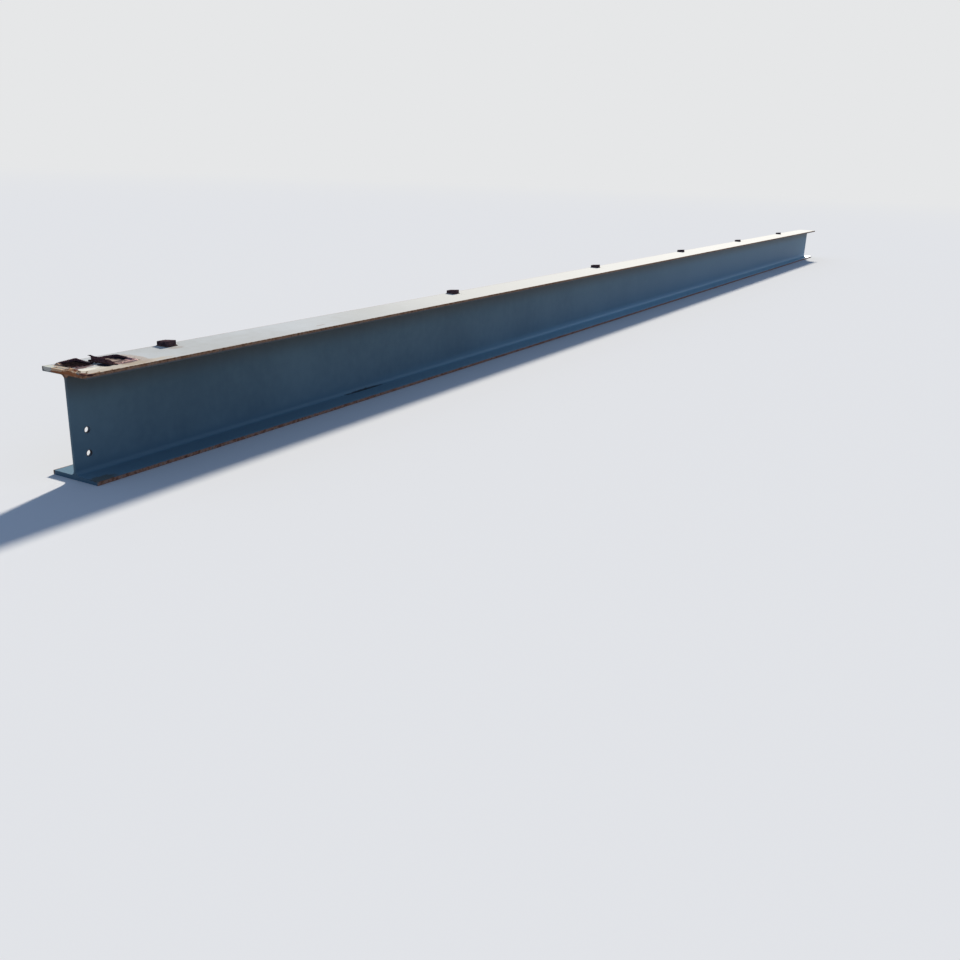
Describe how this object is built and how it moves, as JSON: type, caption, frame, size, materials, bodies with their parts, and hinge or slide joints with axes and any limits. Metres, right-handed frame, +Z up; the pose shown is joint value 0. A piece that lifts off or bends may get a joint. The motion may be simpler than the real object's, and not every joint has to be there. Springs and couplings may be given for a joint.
{
  "type": "steel girder",
  "caption": "Long rolled wide-flange steel girder lying level, with web bolt holes at one end and torch-cut post stubs and small cleats on its top flange.",
  "frame": {"origin": "under the middle of the girder's bottom flange, at the level it rests on", "axes": "+X along the girder, away from the end with the bolt holes and post stubs; +Y across it, towards the edge with the cleats; +Z up"},
  "size_m": [11.735, 0.204, 0.3705],
  "materials": {
    "painted_steel": "pale grey paint, dull, worn to rust along the edges",
    "rusted_steel": "bare rolled steel, dark rust"
  },
  "bodies": {
    "root": {"wide_flange_beam": "painted_steel", "post_stub_end": "rusted_steel", "post_stub_inner": "rusted_steel", "edge_cleat_1": "rusted_steel", "edge_cleat_2": "rusted_steel", "edge_cleat_3": "rusted_steel", "edge_cleat_4": "rusted_steel", "edge_cleat_5": "rusted_steel", "edge_cleat_6": "rusted_steel"}
  },
  "joints": []
}
